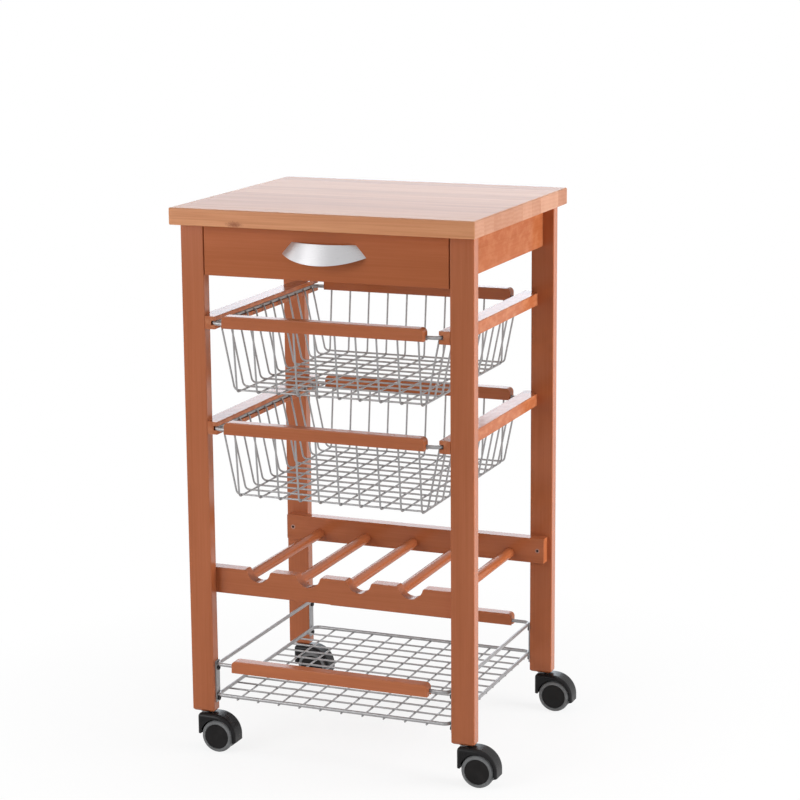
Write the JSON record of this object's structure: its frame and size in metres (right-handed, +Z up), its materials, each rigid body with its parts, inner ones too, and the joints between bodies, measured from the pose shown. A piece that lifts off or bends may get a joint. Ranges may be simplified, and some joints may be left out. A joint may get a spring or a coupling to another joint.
{
  "type": "kitchen cart",
  "caption": "Wooden kitchen cart on swivel casters with a drawer, sliding wire baskets, a notched bottle rack and a wire tray under a thick worktop.",
  "frame": {"origin": "on the floor under the middle of the overall box, casters trailing to +X", "axes": "+X to the right seen from the drawer side, -Y out of the drawer front, +Z up"},
  "size_m": [0.497, 0.4166, 0.826],
  "materials": {
    "worktop_wood": "lacquered",
    "stained_wood": "lacquered",
    "plain_wood": "sanded",
    "panel_board": "smooth board",
    "pull_metal": "satin",
    "wire_metal": "satin grey",
    "screw_steel": "plain",
    "dark_steel": "blackened",
    "hood_plastic": "gloss",
    "wheel_plastic": "black disc with a grey tread"
  },
  "bodies": {
    "frame": {"worktop": "worktop_wood", "tray_wires": "wire_metal", "rack_screws": "screw_steel", "tray_screws": "dark_steel", "rail_screws": "screw_steel", "rear_apron": "stained_wood", "side_apron_left": "stained_wood", "side_apron_right": "stained_wood", "rack_rail_front": "stained_wood", "rack_rail_rear": "stained_wood", "tray_bar_front": "stained_wood", "tray_bar_rear": "stained_wood", "leg_front_left": "stained_wood", "leg_front_right": "stained_wood", "leg_rear_left": "stained_wood", "leg_rear_right": "stained_wood", "basket_lower_rail_left": "stained_wood", "basket_lower_rail_right": "stained_wood", "basket_upper_rail_left": "stained_wood", "basket_upper_rail_right": "stained_wood", "rack_dowels": "stained_wood", "drawer_runner_left": "plain_wood", "drawer_runner_right": "plain_wood", "frame_dowels": "plain_wood", "caster_stem_front_left": "screw_steel", "caster_stem_front_right": "screw_steel", "caster_stem_rear_left": "screw_steel", "caster_stem_rear_right": "screw_steel"},
    "drawer": {"drawer_front": "stained_wood", "drawer_side_left": "plain_wood", "drawer_side_right": "plain_wood", "drawer_back": "plain_wood", "drawer_bottom": "panel_board", "drawer_pull": "pull_metal", "pull_screws": "screw_steel"},
    "basket_upper": {"basket_upper_wires": "wire_metal", "basket_upper_bar_front": "stained_wood", "basket_upper_bar_rear": "stained_wood"},
    "basket_lower": {"basket_lower_wires": "wire_metal", "basket_lower_bar_front": "stained_wood", "basket_lower_bar_rear": "stained_wood"},
    "caster_front_left": {"caster_hood_front_left": "hood_plastic", "caster_axle_front_left": "screw_steel"},
    "wheel_near_front_left": {"caster_wheel_near_front_left": "wheel_plastic"},
    "wheel_far_front_left": {"caster_wheel_far_front_left": "wheel_plastic"},
    "caster_front_right": {"caster_hood_front_right": "hood_plastic", "caster_axle_front_right": "screw_steel"},
    "wheel_near_front_right": {"caster_wheel_near_front_right": "wheel_plastic"},
    "wheel_far_front_right": {"caster_wheel_far_front_right": "wheel_plastic"},
    "caster_rear_left": {"caster_hood_rear_left": "hood_plastic", "caster_axle_rear_left": "screw_steel"},
    "wheel_near_rear_left": {"caster_wheel_near_rear_left": "wheel_plastic"},
    "wheel_far_rear_left": {"caster_wheel_far_rear_left": "wheel_plastic"},
    "caster_rear_right": {"caster_hood_rear_right": "hood_plastic", "caster_axle_rear_right": "screw_steel"},
    "wheel_near_rear_right": {"caster_wheel_near_rear_right": "wheel_plastic"},
    "wheel_far_rear_right": {"caster_wheel_far_rear_right": "wheel_plastic"}
  },
  "joints": [
    {"name": "drawer_slide", "type": "slide", "parent": "frame", "child": "drawer", "axis": [0, -1, 0], "range_m": [0, 0.25]},
    {"name": "basket_upper_slide", "type": "slide", "parent": "frame", "child": "basket_upper", "axis": [0, -1, 0], "range_m": [0, 0.25]},
    {"name": "basket_lower_slide", "type": "slide", "parent": "frame", "child": "basket_lower", "axis": [0, -1, 0], "range_m": [0, 0.25]},
    {"name": "swivel_front_left", "type": "hinge", "parent": "frame", "child": "caster_front_left", "pos_m": [-0.222, -0.17266, 0.055], "axis": [0, 0, 1], "continuous": true},
    {"name": "roll_near_front_left", "type": "hinge", "parent": "caster_front_left", "child": "wheel_near_front_left", "pos_m": [-0.198, -0.17266, 0.025], "axis": [0, 1, 0], "continuous": true},
    {"name": "roll_far_front_left", "type": "hinge", "parent": "caster_front_left", "child": "wheel_far_front_left", "pos_m": [-0.198, -0.17266, 0.025], "axis": [0, 1, 0], "continuous": true},
    {"name": "swivel_front_right", "type": "hinge", "parent": "frame", "child": "caster_front_right", "pos_m": [0.195, -0.17266, 0.055], "axis": [0, 0, 1], "continuous": true},
    {"name": "roll_near_front_right", "type": "hinge", "parent": "caster_front_right", "child": "wheel_near_front_right", "pos_m": [0.219, -0.17266, 0.025], "axis": [0, 1, 0], "continuous": true},
    {"name": "roll_far_front_right", "type": "hinge", "parent": "caster_front_right", "child": "wheel_far_front_right", "pos_m": [0.219, -0.17266, 0.025], "axis": [0, 1, 0], "continuous": true},
    {"name": "swivel_rear_left", "type": "hinge", "parent": "frame", "child": "caster_rear_left", "pos_m": [-0.222, 0.17934, 0.055], "axis": [0, 0, 1], "continuous": true},
    {"name": "roll_near_rear_left", "type": "hinge", "parent": "caster_rear_left", "child": "wheel_near_rear_left", "pos_m": [-0.198, 0.17934, 0.025], "axis": [0, 1, 0], "continuous": true},
    {"name": "roll_far_rear_left", "type": "hinge", "parent": "caster_rear_left", "child": "wheel_far_rear_left", "pos_m": [-0.198, 0.17934, 0.025], "axis": [0, 1, 0], "continuous": true},
    {"name": "swivel_rear_right", "type": "hinge", "parent": "frame", "child": "caster_rear_right", "pos_m": [0.195, 0.17934, 0.055], "axis": [0, 0, 1], "continuous": true},
    {"name": "roll_near_rear_right", "type": "hinge", "parent": "caster_rear_right", "child": "wheel_near_rear_right", "pos_m": [0.219, 0.17934, 0.025], "axis": [0, 1, 0], "continuous": true},
    {"name": "roll_far_rear_right", "type": "hinge", "parent": "caster_rear_right", "child": "wheel_far_rear_right", "pos_m": [0.219, 0.17934, 0.025], "axis": [0, 1, 0], "continuous": true}
  ]
}
